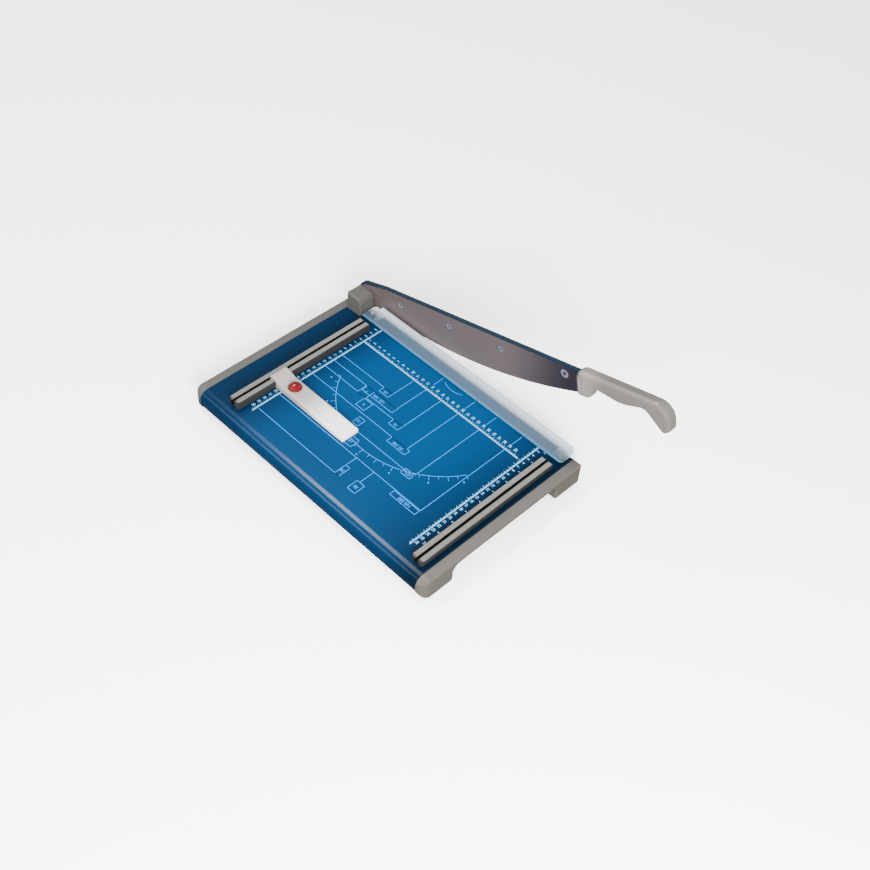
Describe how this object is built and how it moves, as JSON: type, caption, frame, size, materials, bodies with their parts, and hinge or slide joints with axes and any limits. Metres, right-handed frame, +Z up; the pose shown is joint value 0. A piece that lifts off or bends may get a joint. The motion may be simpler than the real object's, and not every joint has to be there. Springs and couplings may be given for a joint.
{
  "type": "lever paper cutter",
  "caption": "Desk lever cutter: flat printed table on end caps, hinged curved knife with handle, clear finger guard and sliding back gauge.",
  "frame": {"origin": "middle of the base's footprint, on the surface it stands on", "axes": "+X towards the knife side, +Y towards the hinge end, +Z up; the operator stands at -Y"},
  "size_m": [0.319, 0.5691, 0.2154],
  "materials": {
    "table_paint": "blue enamel, semi gloss, printed with pale scales",
    "stiffener_steel": "zinc plated sheet",
    "cap_plastic": "fine moulded grain",
    "handle_plastic": "satin moulded",
    "gauge_plastic": "satin moulded",
    "pad_rubber": "matt",
    "zinc_steel": "bright zinc",
    "knife_steel": "ground along its length",
    "bracket_iron": "bare casting",
    "spring_steel": "drawn wire",
    "rail_aluminium": "anodised, fine cross ribs",
    "bar_paint": "blue enamel",
    "bronze": "sintered bronze",
    "nylon": "natural nylon",
    "clear_plastic": "clear, polished",
    "button_red": "polished"
  },
  "bodies": {
    "base": {"table_plate": "table_paint", "underside_stiffeners": "stiffener_steel", "front_end_cap": "cap_plastic", "rear_end_cap": "cap_plastic", "foot_pads": "pad_rubber", "end_cap_screws": "zinc_steel", "bed_knife": "knife_steel", "bed_knife_screws": "zinc_steel", "front_rail": "rail_aluminium", "rear_rail": "rail_aluminium", "rail_screws": "zinc_steel", "hinge_bracket": "bracket_iron", "bracket_screws": "zinc_steel", "hinge_cover": "cap_plastic", "pivot_bolt": "zinc_steel", "pivot_nut": "zinc_steel", "lock_washer": "zinc_steel", "thrust_washer": "nylon", "pivot_washer": "zinc_steel", "disc_springs": "spring_steel", "guard_posts": "zinc_steel", "guard_springs": "spring_steel"},
    "knife_arm": {"knife": "knife_steel", "knife_bar": "bar_paint", "knife_screws": "zinc_steel", "front_knife_bolt": "zinc_steel", "pivot_bush": "bronze", "handle": "handle_plastic", "handle_screw": "zinc_steel"},
    "guard": {"guard": "clear_plastic"},
    "gauge": {"back_gauge": "gauge_plastic", "gauge_bottom_plate": "gauge_plastic", "gauge_shoe": "nylon", "button_spring": "spring_steel"},
    "button": {"release_button": "button_red"},
    "brake": {"brake_slider": "nylon", "brake_pad": "pad_rubber"}
  },
  "joints": [
    {"name": "arm_hinge", "type": "hinge", "parent": "base", "child": "knife_arm", "pos_m": [0.151, 0.2, 0.052], "axis": [-1, 0, 0], "range_deg": [-17.78, 35.2]},
    {"name": "guard_press", "type": "slide", "parent": "base", "child": "guard", "axis": [0, 0, -1], "range_m": [0, 0.0032], "stiffness_N_per_m": 600, "springref_m": -0.004, "deforming": ["guard_springs"]},
    {"name": "gauge_slide", "type": "slide", "parent": "base", "child": "gauge", "axis": [1, 0, 0], "range_m": [-0.06, 0.148]},
    {"name": "button_press", "type": "slide", "parent": "gauge", "child": "button", "axis": [0, 0, -1], "range_m": [0, 0.0018], "stiffness_N_per_m": 400, "springref_m": -0.002, "deforming": ["button_spring"]},
    {"name": "brake_slide", "type": "slide", "parent": "gauge", "child": "brake", "axis": [0, -1, 0], "range_m": [0, 0.0018]}
  ],
  "couplings": [
    {"joint": "brake_slide", "follows": "button_press", "ratio": 1}
  ]
}
